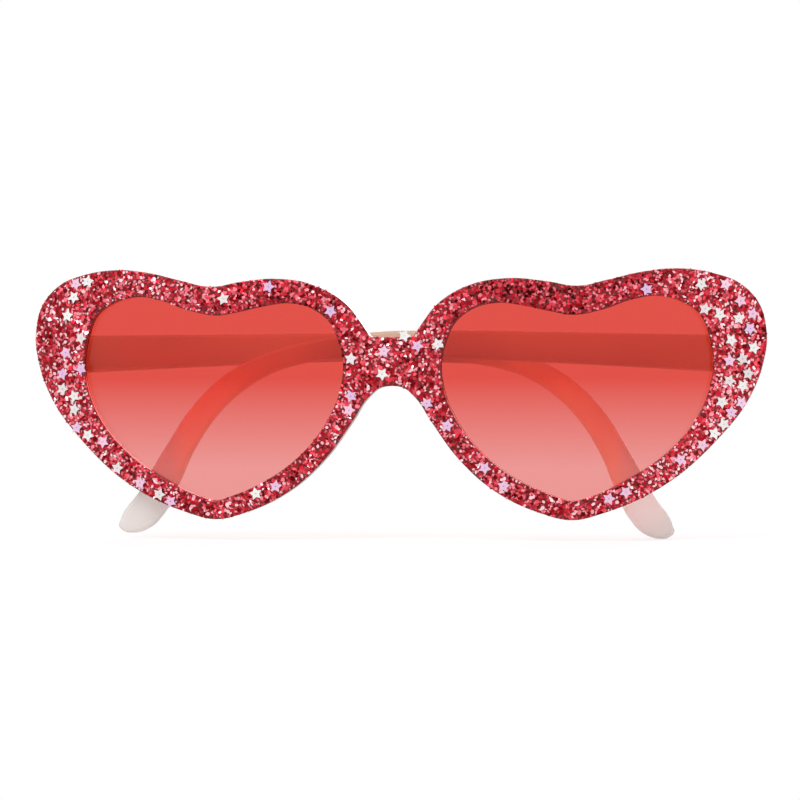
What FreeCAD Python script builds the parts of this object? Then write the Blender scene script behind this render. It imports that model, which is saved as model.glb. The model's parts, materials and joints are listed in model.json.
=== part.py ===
"""Heart shaped party sunglasses: a wrapped front with a glitter face and star sequins, two tinted
heart lenses, and two side arms that fold on three-barrel hinges. Millimetres, +Z up, the front faces
-Y, +X is the wearer's left. The origin is the top of the nose arch, on the front face. The side arms
are folded at rest."""
import FreeCAD, Part

import math
import os

from FreeCAD import Vector

# Front, boxed as opticians do: the size of a lens opening, the gap between the two, and the rim around them
OPENING_WIDTH = 54.1
OPENING_HEIGHT = 41.15
OPENING_GAP = 19.7
OPENING_RISE = 18.15
RIM_SIDE = 10.65
RIM_TOP = 5.45
RIM_BOTTOM = 3.85
BRIDGE_HEIGHT = 9.8
BRIDGE_CORNER_RADIUS = 0.9
WRAP_RADIUS = 240.0
GLITTER_THICKNESS = 0.8
BASE_THICKNESS = 3.2
BACK_EDGE_RADIUS = 0.6
FACE_EDGE_RADIUS = 0.25

# Lenses, held in a groove of the moulded front
LENS_THICKNESS = 1.6
GROOVE_LIP = 0.75
GROOVE_DEPTH = 1.0
GROOVE_CLEARANCE = 0.05
LENS_EDGE_CLEARANCE = 0.1

# Star sequins
STAR_WIDTH = 2.5
STAR_THICKNESS = 0.2
STAR_WAIST_SHARE = 0.5

# Hinges: the pin's place on the left side, its lean, how far it stands off the plastic, and the metal,
# which is anchored inside the plastic
PIVOT_INSET = 6.4
PIVOT_HEIGHT = 7.1
HINGE_TILT_DEG = 8.0
PIN_STANDOFF = 2.4
BARREL_RADIUS = 1.4
BARREL_HEIGHT = 1.95
BARREL_GAP = 0.1
PIN_RADIUS = 0.7
PIN_CLEARANCE = 0.05
SCREW_HEAD_RADIUS = 1.25
SCREW_HEAD_HEIGHT = 0.55
SCREW_SLOT_WIDTH = 0.3
SCREW_SLOT_DEPTH = 0.3
FRAME_ANCHOR_DEPTH = 2.8
TEMPLE_ANCHOR_LENGTH = 2.4
TEMPLE_ANCHOR_INSET = 0.8
TEMPLE_ANCHOR_THICKNESS = 1.2
ANCHOR_CLEARANCE = 0.02

# End pieces, which stand behind the rim and hold the frame's half of each hinge
END_PIECE_INSIDE = 2.6
END_PIECE_HEIGHT = 8.6
END_PIECE_STAND = 1.6

# Side arms
LEFT_TEMPLE_REACH = 126.2
RIGHT_TEMPLE_REACH = 124.9
TEMPLE_DROP = 37.8
TEMPLE_HEIGHT = 7.8
TEMPLE_BUTT_THICKNESS = 3.0
TEMPLE_TIP_THICKNESS = 2.0
TEMPLE_BUTT_GAP = 0.3
TEMPLE_EDGE_RADIUS = 0.8
LEFT_FOLD_DEG = 93.2
RIGHT_FOLD_DEG = 89.4

CUT_OVERRUN = 1.0
EDGE_MATCH = 0.005
STRAIGHT_LIMIT = 0.00002

# Half of the front's outer outline, from beside the bridge, over the heart, to the nose arch: shares of
# the half width, and of the rise above the arch (positive) or the drop below it (negative)
FRONT_OUTLINE_SHARES = (
    (0.088, 0.560), (0.112, 0.661), (0.150, 0.763), (0.212, 0.860), (0.324, 0.915), (0.411, 0.890),
    (0.496, 0.850), (0.583, 0.907), (0.657, 0.964), (0.764, 1.000), (0.857, 0.962), (0.928, 0.877),
    (0.976, 0.725), (1.000, 0.445), (0.987, 0.157), (0.944, -0.134), (0.866, -0.406), (0.739, -0.719),
    (0.572, -0.942), (0.483, -1.000), (0.390, -0.940), (0.264, -0.760), (0.177, -0.536), (0.107, -0.268),
    (0.064, -0.089), (0.032, -0.015),
)
BRIDGE_CORNER_SHARE = 0.058
CORNER_LEAN_SHARES = (0.5, 0.87)

# A lens opening, from its cleft outwards and round: shares of its width and height
OPENING_SHARES = (
    (0.491, 0.906), (0.594, 0.933), (0.696, 0.980), (0.788, 1.000), (0.875, 0.976), (0.946, 0.916),
    (0.986, 0.797), (1.000, 0.680), (0.982, 0.530), (0.925, 0.374), (0.816, 0.219), (0.677, 0.100),
    (0.556, 0.024), (0.480, 0.000), (0.409, 0.027), (0.284, 0.102), (0.162, 0.219), (0.066, 0.374),
    (0.013, 0.530), (0.000, 0.671), (0.015, 0.768), (0.056, 0.877), (0.127, 0.942), (0.206, 0.964),
    (0.308, 0.949), (0.400, 0.923),
)

# A side arm's edge, along the top, round the tip and back: shares of its reach, butt height and drop
TEMPLE_OUTLINE_SHARES = (
    (0.14, 0.52, 0.00), (0.28, 0.54, 0.00), (0.45, 0.56, 0.00), (0.60, 0.48, 0.00), (0.68, 0.27, 0.00),
    (0.74, 0.02, 0.00), (0.79, 0.00, 0.062), (0.84, 0.00, 0.178), (0.88, 0.00, 0.325), (0.92, 0.00, 0.540),
    (0.96, 0.00, 0.770), (0.99, 0.00, 0.924), (0.993, 0.00, 0.965), (0.984, 0.00, 0.993),
    (0.967, 0.00, 1.000), (0.940, 0.00, 0.967), (0.918, 0.00, 0.885), (0.896, 0.00, 0.735),
    (0.870, 0.00, 0.535), (0.836, 0.00, 0.358),
    (0.80, 0.00, 0.235), (0.75, 0.00, 0.126), (0.69, 0.00, 0.064), (0.60, -0.19, 0.00), (0.44, -0.18, 0.00),
    (0.28, -0.27, 0.00), (0.14, -0.37, 0.00),
)

# Places of the stars on the front: shares of the half width and of the rise or drop, and a turn in degrees
PEARL_STAR_SHARES = (
    (-0.845, 0.905, 10), (-0.886, 0.770, 40), (-0.905, 0.610, 5), (-0.920, -0.020, 20),
    (-0.885, -0.075, 50), (-0.885, -0.175, 15), (-0.845, -0.370, 30), (-0.760, -0.620, 12),
    (-0.866, 0.416, 25), (-0.460, 0.745, 60), (-0.110, 0.230, 8), (-0.025, 0.100, 32),
    (0.035, 0.425, 20), (0.125, 0.355, 48), (0.835, 0.655, 14), (0.875, 0.605, 36),
    (0.925, 0.575, 4), (0.905, 0.390, 28), (0.965, 0.325, 18), (0.935, 0.230, 52),
    (0.950, 0.105, 9), (0.935, 0.000, 41), (0.900, 0.045, 24), (0.880, -0.120, 33),
    (-0.640, -0.815, 22), (0.885, -0.285, 45), (0.860, -0.355, 17), (-0.370, -0.805, 58),
    (0.825, 0.865, 38),
)
LILAC_STAR_SHARES = (
    (-0.880, 0.885, 30), (-0.910, 0.290, 50), (-0.920, 0.105, 12), (-0.865, 0.150, 44),
    (-0.878, -0.315, 3), (0.905, -0.195, 2), (-0.608, -0.868, 47), (-0.335, 0.845, 16),
    (-0.165, 0.635, 35), (-0.020, 0.295, 6), (0.070, 0.340, 27), (-0.110, -0.075, 53),
    (-0.115, -0.180, 19), (0.095, -0.130, 42), (0.150, -0.295, 11), (0.250, -0.610, 31),
    (-0.315, -0.750, 7), (0.680, 0.820, 55), (0.890, 0.865, 21), (0.930, 0.725, 49),
    (0.962, 0.615, 13), (0.955, 0.490, 37), (0.900, 0.215, 1), (0.932, -0.125, 29),
    (0.770, -0.550, 46), (0.580, -0.840, 15), (0.625, -0.790, 34), (-0.695, -0.730, 5),
    (0.828, -0.440, 26), (-0.801, -0.422, 40), (0.300, -0.745, 8),
)
STAR_POINTS = 5

# Sizes that follow from the ones above
HALF_WIDTH = OPENING_GAP / 2 + OPENING_WIDTH + RIM_SIDE
FRONT_RISE = OPENING_RISE + RIM_TOP
FRONT_DROP = OPENING_HEIGHT - OPENING_RISE + RIM_BOTTOM
FRONT_THICKNESS = GLITTER_THICKNESS + BASE_THICKNESS
OPENING_CENTRE_X = OPENING_GAP / 2 + OPENING_WIDTH / 2
OPENING_CENTRE_Z = OPENING_RISE - OPENING_HEIGHT / 2
LENS_FACE_DEPTH = GLITTER_THICKNESS + GROOVE_LIP


def wrap_depth(x):
    """How far behind the origin the front face lies at x."""
    return WRAP_RADIUS - math.sqrt(WRAP_RADIUS ** 2 - x ** 2)


PIVOT_X = HALF_WIDTH - PIVOT_INSET
END_OUTER_X = PIVOT_X + PIN_STANDOFF + TEMPLE_BUTT_THICKNESS
PIVOT_Y = wrap_depth(END_OUTER_X) + FRONT_THICKNESS + END_PIECE_STAND + PIN_STANDOFF
PRISM_BACK = wrap_depth(HALF_WIDTH) + FRONT_THICKNESS + CUT_OVERRUN
HINGE_HALF_HEIGHT = 1.5 * BARREL_HEIGHT + BARREL_GAP


def signed_height(share):
    """A height on the front: above the nose arch a share of the rise, below it a share of the drop."""
    return share * (FRONT_RISE if share > 0 else FRONT_DROP)


def mirrored(shape):
    """The same shape on the other side of the nose."""
    return shape.mirror(Vector(0, 0, 0), Vector(1, 0, 0))


def arc(start, apex, end):
    """The arc from start to end whose tangents meet at apex, or a line where they run straight."""
    middle = (start + end) * 0.5
    half = (end - start).Length / 2
    bulge = (apex - middle) * (half / ((apex - start).Length + half))
    if bulge.Length < STRAIGHT_LIMIT:
        return Part.makeLine(start, end)
    return Part.Arc(start, middle + bulge, end).toShape()


def arc_pair(start, end, leave, arrive):
    """Two arcs from one point and direction to another, smooth where they meet."""
    chord = end - start
    ahead = chord.dot(leave + arrive)
    turn = 2 * (1 - leave.dot(arrive))
    reach = chord.dot(chord) / (ahead + math.sqrt(ahead ** 2 + turn * chord.dot(chord)))
    first_apex = start + leave * reach
    second_apex = end - arrive * reach
    meet = (first_apex + second_apex) * 0.5
    return [arc(start, first_apex, meet), arc(meet, second_apex, end)]


def smooth_edges(points, first_way, last_way):
    """Arcs that run smoothly through the points, with the given directions at the two ends."""
    ways = [first_way]
    for before, here, after in zip(points, points[1:], points[2:]):
        come = here - before
        go = after - here
        ways.append((come * (go.Length / come.Length) + go * (come.Length / go.Length)).normalize())
    ways.append(last_way)
    edges = []
    for start, end, leave, arrive in zip(points, points[1:], ways, ways[1:]):
        edges += arc_pair(start, end, leave, arrive)
    return edges


def straight_through(wire, depth):
    """The solid that an outline in front of the face sweeps straight back to this depth."""
    return Part.Face(wire).extrude(Vector(0, depth + CUT_OVERRUN, 0))


def wrapped_layer(front_depth, back_depth):
    """The space between two depths behind the front face, all round the wrap's axis."""
    height = FRONT_RISE + FRONT_DROP + 2 * CUT_OVERRUN
    foot = Vector(0, WRAP_RADIUS, -FRONT_DROP - CUT_OVERRUN)
    outside = Part.makeCylinder(WRAP_RADIUS - front_depth, height, foot)
    inside = Part.makeCylinder(WRAP_RADIUS - back_depth, height, foot)
    return outside.cut(inside)


def front_wire():
    """The outer outline of the front, both hearts and the bridge."""
    plane = -CUT_OVERRUN
    corner = Vector(BRIDGE_CORNER_SHARE * HALF_WIDTH, plane, BRIDGE_HEIGHT)
    heart = [Vector(x * HALF_WIDTH, plane, signed_height(z)) for x, z in FRONT_OUTLINE_SHARES]
    arch = Vector(0, plane, 0)
    lean_x, lean_z = CORNER_LEAN_SHARES
    rising = Vector(lean_x, 0, lean_z).normalize()
    half = smooth_edges([corner] + heart + [arch], rising, Vector(-1, 0, 0))
    top = Part.makeLine(Vector(-corner.x, plane, BRIDGE_HEIGHT), corner)
    return Part.Wire(Part.__sortEdges__([top] + half + [mirrored(edge) for edge in half]))


def opening_wire(side, grown):
    """The outline of a lens opening, or of a lens or groove that is larger all round by grown."""
    plane = -CUT_OVERRUN
    width = OPENING_WIDTH + 2 * grown
    height = OPENING_HEIGHT + 2 * grown
    left = OPENING_CENTRE_X - width / 2
    bottom = OPENING_CENTRE_Z - height / 2
    points = [Vector(left + x * width, plane, bottom + z * height) for x, z in OPENING_SHARES]
    way = (points[1] - points[-1]).normalize()
    wire = Part.Wire(smooth_edges(points + points[:1], way, way))
    return wire if side > 0 else mirrored(wire)


def edges_at_depth(shape, depth):
    """The edges of a front piece that lie at this depth behind the wrapped face."""
    radius = WRAP_RADIUS - depth
    found = []
    for edge in shape.Edges:
        spots = [edge.valueAt(edge.FirstParameter + k / 4 * (edge.LastParameter - edge.FirstParameter))
                 for k in range(5)]
        if all(abs(math.hypot(p.x, p.y - WRAP_RADIUS) - radius) < EDGE_MATCH for p in spots):
            found.append(edge)
    return found


def corner_edges(shape):
    """The short edges in the two corners where the hearts rise from the bridge."""
    corner_x = BRIDGE_CORNER_SHARE * HALF_WIDTH
    found = []
    for edge in shape.Edges:
        ends = [vertex.Point for vertex in edge.Vertexes]
        if all(abs(p.z - BRIDGE_HEIGHT) < EDGE_MATCH for p in ends):
            if abs(sum(p.x for p in ends)) > corner_x and abs(ends[0].x - ends[-1].x) < EDGE_MATCH:
                found.append(edge)
    return found


def front_blank(front_depth, back_depth):
    """A layer of the front between two depths, with rounded bridge corners and both lens openings."""
    layer = wrapped_layer(front_depth, back_depth)
    blank = straight_through(front_wire(), PRISM_BACK).common(layer)
    blank = blank.makeFillet(BRIDGE_CORNER_RADIUS, corner_edges(blank))
    return blank.cut([straight_through(opening_wire(side, 0), PRISM_BACK) for side in (1, -1)])


def at_hinge(shape, fold_deg=0.0):
    """Puts a piece modelled about the left hinge pin, with the arm open, at its place in the front."""
    placed = shape.copy()
    placed.rotate(Vector(0, 0, 0), Vector(0, 0, 1), fold_deg)
    placed.rotate(Vector(0, 0, 0), Vector(1, 0, 0), -HINGE_TILT_DEG)
    placed.translate(Vector(PIVOT_X, PIVOT_Y, PIVOT_HEIGHT))
    return placed


def box(low, high):
    """A box between two opposite corners."""
    size = high - low
    return Part.makeBox(size.x, size.y, size.z, low)


def end_piece():
    """The block behind the left rim whose flat back takes the hinge's anchor and meets the open arm."""
    half = END_PIECE_HEIGHT / 2
    block = box(Vector(-END_PIECE_INSIDE, -PIN_STANDOFF - PIVOT_Y, -half),
                Vector(PIN_STANDOFF + TEMPLE_BUTT_THICKNESS, -PIN_STANDOFF, half))
    block = at_hinge(block)
    inside = Part.makeCylinder(WRAP_RADIUS - GLITTER_THICKNESS - BASE_THICKNESS / 2,
                               FRONT_RISE + FRONT_DROP, Vector(0, WRAP_RADIUS, -FRONT_DROP))
    outline = straight_through(front_wire(), PIVOT_Y)
    return block.common(inside).common(outline)


def frame_anchor(clearance):
    """The part of the frame's half that sits in the end piece, or the pocket for it."""
    half = HINGE_HALF_HEIGHT + clearance
    return box(Vector(-BARREL_RADIUS, -PIN_STANDOFF - FRAME_ANCHOR_DEPTH - clearance, -half),
               Vector(0, -PIN_STANDOFF, half))


def temple_anchor(clearance):
    """The part of the arm's half that sits in the arm's butt, or the pocket for it."""
    butt = TEMPLE_BUTT_GAP - PIN_STANDOFF
    half = HINGE_HALF_HEIGHT + clearance
    neck_half = BARREL_HEIGHT / 2 + clearance
    plate_x = PIN_STANDOFF + TEMPLE_ANCHOR_INSET
    plate = box(Vector(plate_x, butt, -half),
                Vector(plate_x + TEMPLE_ANCHOR_THICKNESS, TEMPLE_ANCHOR_LENGTH + clearance, half))
    neck = box(Vector(PIN_STANDOFF, butt, -neck_half), Vector(plate_x, BARREL_RADIUS + clearance, neck_half))
    return plate.fuse(neck)


def frame_front():
    """The moulded front: rims with a lens groove, bridge and two end pieces."""
    base = front_blank(GLITTER_THICKNESS, FRONT_THICKNESS)
    base = base.makeFillet(BACK_EDGE_RADIUS, edges_at_depth(base, FRONT_THICKNESS))
    groove = wrapped_layer(LENS_FACE_DEPTH, LENS_FACE_DEPTH + LENS_THICKNESS + GROOVE_CLEARANCE)
    block = end_piece()
    base = base.fuse([block, mirrored(block)])
    for side in (1, -1):
        base = base.cut(straight_through(opening_wire(side, GROOVE_DEPTH), PRISM_BACK).common(groove))
    pocket = at_hinge(frame_anchor(ANCHOR_CLEARANCE))
    return base.cut([pocket, mirrored(pocket)]).removeSplitter()


def glitter_face():
    """The glitter layer on the front of the moulding."""
    face = front_blank(0, GLITTER_THICKNESS)
    return face.makeFillet(FACE_EDGE_RADIUS, edges_at_depth(face, 0))


def lens(side):
    """A tinted heart lens that follows the wrap."""
    outline = straight_through(opening_wire(side, GROOVE_DEPTH - LENS_EDGE_CLEARANCE), PRISM_BACK)
    return outline.common(wrapped_layer(LENS_FACE_DEPTH, LENS_FACE_DEPTH + LENS_THICKNESS))


def star(x_share, z_share, turn_deg):
    """One star sequin that lies on the glitter face."""
    x = x_share * HALF_WIDTH
    z = signed_height(z_share)
    corners = []
    for k in range(2 * STAR_POINTS):
        reach = STAR_WIDTH / 2 * (STAR_WAIST_SHARE if k % 2 else 1)
        angle = math.pi * k / STAR_POINTS + math.radians(turn_deg)
        corners.append(Vector(x + reach * math.sin(angle), -CUT_OVERRUN, z + reach * math.cos(angle)))
    outline = Part.makePolygon(corners + corners[:1])
    return straight_through(outline, PRISM_BACK).common(wrapped_layer(-STAR_THICKNESS, 0))


def barrel(low, high, web_corner, web_size):
    """A hinge barrel about the pin, with the web that joins it to its anchor, and its bore."""
    width, depth = web_size
    web = Part.makeBox(width, depth, high - low, web_corner + Vector(0, 0, low))
    outside = Part.makeCylinder(BARREL_RADIUS, high - low, Vector(0, 0, low)).fuse(web)
    return outside.cut(Part.makeCylinder(PIN_RADIUS + PIN_CLEARANCE, high - low, Vector(0, 0, low)))


def frame_hinge():
    """The frame's half: the upper and lower barrels on an anchor in the end piece."""
    inner = BARREL_HEIGHT / 2 + BARREL_GAP
    outer = HINGE_HALF_HEIGHT
    web_corner = Vector(-BARREL_RADIUS, -PIN_STANDOFF, 0)
    web_size = (BARREL_RADIUS, PIN_STANDOFF)
    barrels = [barrel(inner, outer, web_corner, web_size), barrel(-outer, -inner, web_corner, web_size)]
    return frame_anchor(0).fuse(barrels).removeSplitter()


def temple_hinge():
    """The arm's half: the middle barrel on an anchor in the arm's butt."""
    inner = BARREL_HEIGHT / 2
    middle = barrel(-inner, inner, Vector(0, 0, 0), (PIN_STANDOFF, BARREL_RADIUS))
    return temple_anchor(0).fuse(middle).removeSplitter()


def hinge_screw():
    """The slotted screw that is the hinge pin."""
    length = 2 * HINGE_HALF_HEIGHT
    shank = Part.makeCylinder(PIN_RADIUS, length, Vector(0, 0, -HINGE_HALF_HEIGHT))
    head = Part.makeCylinder(SCREW_HEAD_RADIUS, SCREW_HEAD_HEIGHT, Vector(0, 0, HINGE_HALF_HEIGHT))
    slot = Part.makeBox(2 * SCREW_HEAD_RADIUS, SCREW_SLOT_WIDTH, SCREW_SLOT_DEPTH,
                        Vector(-SCREW_HEAD_RADIUS, -SCREW_SLOT_WIDTH / 2,
                               HINGE_HALF_HEIGHT + SCREW_HEAD_HEIGHT - SCREW_SLOT_DEPTH))
    return shank.fuse(head).cut(slot).removeSplitter()


def temple(temple_reach):
    """A side arm, open: straight from its butt, then down to a rounded tip, thinner towards the tip."""
    butt = TEMPLE_BUTT_GAP - PIN_STANDOFF
    edge = [Vector(PIN_STANDOFF, butt, TEMPLE_HEIGHT / 2)]
    for along, height, drop in TEMPLE_OUTLINE_SHARES:
        edge.append(Vector(PIN_STANDOFF, along * temple_reach, height * TEMPLE_HEIGHT - drop * TEMPLE_DROP))
    edge.append(Vector(PIN_STANDOFF, butt, -TEMPLE_HEIGHT / 2))
    first_way = (edge[1] - edge[0]).normalize()
    last_way = (edge[-1] - edge[-2]).normalize()
    outline = Part.Wire(smooth_edges(edge, first_way, last_way) + [Part.makeLine(edge[-1], edge[0])])
    side_view = Part.Face(outline).extrude(Vector(TEMPLE_BUTT_THICKNESS + CUT_OVERRUN, 0, 0))
    low = -TEMPLE_DROP - CUT_OVERRUN
    before = butt - CUT_OVERRUN
    past = temple_reach + CUT_OVERRUN
    plan = [Vector(PIN_STANDOFF, before, low), Vector(PIN_STANDOFF + TEMPLE_BUTT_THICKNESS, before, low),
            Vector(PIN_STANDOFF + TEMPLE_TIP_THICKNESS, past, low), Vector(PIN_STANDOFF, past, low)]
    top_view = Part.Face(Part.makePolygon(plan + plan[:1]))
    arm = side_view.common(top_view.extrude(Vector(0, 0, TEMPLE_HEIGHT - low + CUT_OVERRUN)))
    arm = arm.makeFillet(TEMPLE_EDGE_RADIUS, rounded_edges(arm, butt))
    return arm.cut(temple_anchor(ANCHOR_CLEARANCE))


def rounded_edges(arm, butt):
    """The edges round an arm's inner and outer faces, without those of its butt."""
    found = []
    for edge in arm.Edges:
        ends = [vertex.Point for vertex in edge.Vertexes]
        inner = [abs(p.x - PIN_STANDOFF) < EDGE_MATCH for p in ends]
        at_butt = all(abs(p.y - butt) < EDGE_MATCH for p in ends)
        if not at_butt and (all(inner) or not any(inner)):
            found.append(edge)
    return found


def write(node, shapes):
    """Writes one node, a solid or a group of separate solids."""
    shape = shapes[0] if len(shapes) == 1 else Part.makeCompound(shapes)
    shape.exportStep("parts/" + node + ".step")


def main():
    """Builds every piece and writes it."""
    os.makedirs("parts", exist_ok=True)
    write("frame_front", [frame_front()])
    write("glitter_face", [glitter_face()])
    write("pearl_stars", [star(*place) for place in PEARL_STAR_SHARES])
    write("lilac_stars", [star(*place) for place in LILAC_STAR_SHARES])
    write("left_lens", [lens(1)])
    write("right_lens", [lens(-1)])
    for side, fold_deg, temple_reach in (("left", LEFT_FOLD_DEG, LEFT_TEMPLE_REACH),
                                         ("right", RIGHT_FOLD_DEG, RIGHT_TEMPLE_REACH)):
        pieces = {
            "_temple": [at_hinge(temple(temple_reach), fold_deg)],
            "_frame_hinge": [at_hinge(frame_hinge())],
            "_temple_hinge": [at_hinge(temple_hinge(), fold_deg)],
            "_hinge_screw": [at_hinge(hinge_screw())],
        }
        for name, shapes in pieces.items():
            write(side + name, shapes if side == "left" else [mirrored(s) for s in shapes])


main()
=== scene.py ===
"""Dresses the heart shaped sunglasses: glitter flakes and star sequins on the front, tinted lenses,
milky side arms, metal hinges, and a plain white stage with the photograph's camera."""
import json
import math
import random

import bpy
from bpy.props import FloatProperty, FloatVectorProperty, IntProperty, PointerProperty
from bpy.types import Operator, Panel, PropertyGroup
from mathutils import Matrix, Vector

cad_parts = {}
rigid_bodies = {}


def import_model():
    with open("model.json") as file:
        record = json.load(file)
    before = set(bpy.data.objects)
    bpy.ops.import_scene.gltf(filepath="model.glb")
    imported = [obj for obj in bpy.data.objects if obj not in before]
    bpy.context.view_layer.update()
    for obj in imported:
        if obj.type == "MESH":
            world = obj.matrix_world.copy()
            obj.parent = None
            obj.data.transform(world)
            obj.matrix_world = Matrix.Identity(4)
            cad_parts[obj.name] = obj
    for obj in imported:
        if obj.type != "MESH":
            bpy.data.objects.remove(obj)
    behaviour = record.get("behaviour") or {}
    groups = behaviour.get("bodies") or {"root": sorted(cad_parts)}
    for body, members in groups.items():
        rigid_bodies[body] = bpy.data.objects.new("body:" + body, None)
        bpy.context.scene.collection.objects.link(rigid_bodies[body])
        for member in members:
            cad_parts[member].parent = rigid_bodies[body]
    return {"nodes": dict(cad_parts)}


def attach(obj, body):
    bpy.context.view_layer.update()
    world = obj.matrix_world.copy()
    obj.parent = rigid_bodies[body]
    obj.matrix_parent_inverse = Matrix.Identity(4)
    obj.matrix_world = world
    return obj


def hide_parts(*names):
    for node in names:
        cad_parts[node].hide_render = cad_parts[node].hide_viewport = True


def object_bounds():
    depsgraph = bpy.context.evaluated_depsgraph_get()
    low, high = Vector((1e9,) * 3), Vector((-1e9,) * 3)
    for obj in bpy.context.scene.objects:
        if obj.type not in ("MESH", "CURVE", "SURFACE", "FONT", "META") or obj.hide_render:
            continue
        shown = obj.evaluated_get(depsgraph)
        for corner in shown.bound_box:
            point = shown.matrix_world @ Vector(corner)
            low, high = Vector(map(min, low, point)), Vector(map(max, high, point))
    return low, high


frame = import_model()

bl_info = {
    "name": "Heart shaped sunglasses",
    "version": (1, 0, 0),
    "blender": (4, 5, 0),
    "location": "3D View > Sidebar > Sunglasses",
    "description": "Glitter, stars, tinted lenses and milky side arms on the heart shaped sunglasses",
    "category": "Object",
}

CAD_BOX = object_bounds()
WHITE = (1.0, 1.0, 1.0, 1.0)

# The sRGB curve: end and slope of its straight part, then offset and power of the rest.
SRGB_END = 0.04045
SRGB_SLOPE = 12.92
SRGB_OFFSET = 0.055
SRGB_POWER = 2.4

# Corners nearer to each other than this become one, in metres.
MERGE_DISTANCE = 0.000001
# A face belongs to the front if its normal points forwards by more than this cosine.
FORWARDS = (0, -1, 0)
FRONT_FACING = 0.6

# The attribute that holds each flake's and each star's own tone, from 0 to 1.
TONE = "tone"
STAR_POINTS = 5
TIP_SEGMENTS = 2
# Outlines of the flakes: corners, and width as a share of the length.
FLAKE_SHAPES = ((6, 0.8), (5, 0.6), (4, 0.5), (3, 0.75))
# Places tried in each square of the least spacing, before those too close are dropped.
PLACES_TRIED = 4.0
# From this tone up, flakes shrink towards the spark size.
SPARK_START = 0.7

# Grain of each finish: scale, roughness, spread of the roughness, and height in metres.
GRAIN = {
    "moulding": (420.0, 0.3, 0.12, 0.00002),
    "bed": (1500.0, 0.4, 0.3, 0.00005),
    "sequin": (900.0, 0.22, 0.12, 0.00002),
    "arm": (300.0, 0.32, 0.1, 0.00002),
    "hinge": (1800.0, 0.3, 0.2, 0.00001),
    "screw": (1800.0, 0.22, 0.2, 0.00001),
}
GRAIN_DETAIL = 4.0
GRAIN_STRENGTH = 0.25

# Glitter dust: cells to a metre in the moulding and in the bed, and the brightness where flecks start.
FLECK_SCALE = 1300.0
DUST_SCALE = 2600.0
FLECK_START = 0.45

# The tones of the bed and of the flakes: place on the scale, and the glitter's colour there.
BED_TONES = ((0.0, "shadow"), (0.5, "bed"), (0.8, "deep"), (0.97, "rose"))
# In the flakes these tones are partly painted light: the dark end paints shade, the bright end glints.
FLAKE_TONES = ((0.0, "shadow"), (0.2, "deep"), (0.45, "red"),
               (0.7, "rose"), (0.92, "pink"), (1.0, "spark"))
# Slow drift of the flakes' tone: scale and detail of its noise, the part that counts, and its lift.
DRIFT_SCALE = 55.0
DRIFT_DETAIL = 2.0
DRIFT_RANGE = (0.3, 0.7)
DRIFT_LIFT = 0.14
# Painted shade and light on the flakes, duller or lighter in soft patches: middle, radius, and change of
# tone.
PAINTED_GLITTER_SHADE_AND_LIGHT = (
    ((0.030, 0.002, 0.021), 0.030, -0.20),
    ((-0.022, 0.002, 0.021), 0.022, -0.13),
    ((-0.072, 0.010, 0.002), 0.026, 0.11),
    ((0.060, 0.007, -0.014), 0.022, 0.10),
)

# The sequins' painted sheen, a change of tint: scale, detail and share of its noise, and a star's own
# offset at most.
SHEEN_SCALE = 620.0
SHEEN_DETAIL = 1.0
SHEEN_SHARE = 0.9
STAR_SHIFT = 0.45

# Light from the lamps passes both walls of a lens, so each wall takes the square root of the tint.
ONE_WALL = 0.5
# Index of refraction: low, because the lenses hardly reflect.
LENS_INDEX = 1.36

# Tints along a folded side arm: metres past the nose arch towards the arm's tip, and the tint there.
# Cream paints light at the hinge end and on the bend, and Peach paints red lens light on the lower bend.
# Ivory and milk are the plastic's own tints. Warm ivory paints shade and red lens light where the arms
# cross,
ARM_TINTS = (
    (-0.0800, "cream_painted_light"), (-0.0480, "ivory"), (-0.0240, "ivory"), (-0.0060, "warm_painted_shade"), (0.0080, "warm_painted_shade"),
    (0.0230, "cream_painted_light"), (0.0340, "cream_painted_light"), (0.0410, "peach_painted_lens_light"), (0.0435, "peach_painted_lens_light"), (0.0465, "milk"),
)

# Rubbing marks on the metal: scale and detail, and how much of the tint stays where they are strongest.
MARK_SCALE = 700.0
MARK_DETAIL = 5.0
WORN_SHARE = 0.7

# The lamps: name, place and side. Their powers are in the stage's settings.
LAMPS = (
    ("key", (-0.35, -0.75, 0.75), 0.6),
    ("top", (0.0, -0.26, 0.8), 0.5),
    ("fill", (0.75, -0.55, 0.25), 0.5),
    ("back", (0.1, 0.86, 0.34), 0.6),
)
PAPER_ROUGHNESS = 0.9
# The camera sees nothing nearer than this share of its distance.
CLIP_SHARE = 0.01


def srgb(red, green, blue):
    """A colour given in 0 to 255 as the linear numbers that the shaders take."""
    levels = [level / 255 for level in (red, green, blue)]
    return tuple(level / SRGB_SLOPE if level < SRGB_END
                 else ((level + SRGB_OFFSET) / (1 + SRGB_OFFSET)) ** SRGB_POWER
                 for level in levels)


def colour(name, description, value):
    """A colour property."""
    return FloatVectorProperty(name=name, description=description, subtype="COLOR", size=3,
                               min=0.0, max=1.0, default=value)


def length(name, description, value):
    """A length property, in metres."""
    return FloatProperty(name=name, description=description, unit="LENGTH", precision=6, default=value)


def angle(name, description, degrees):
    """An angle property."""
    return FloatProperty(name=name, description=description, subtype="ANGLE",
                         default=math.radians(degrees))


def share(name, description, value):
    """A property that is a share of something, from 0 to 1."""
    return FloatProperty(name=name, description=description, subtype="FACTOR",
                         min=0.0, max=1.0, default=value)


def power(name, description, value):
    """A lamp's power, in watts."""
    return FloatProperty(name=name, description=description, unit="POWER", default=value)


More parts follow.
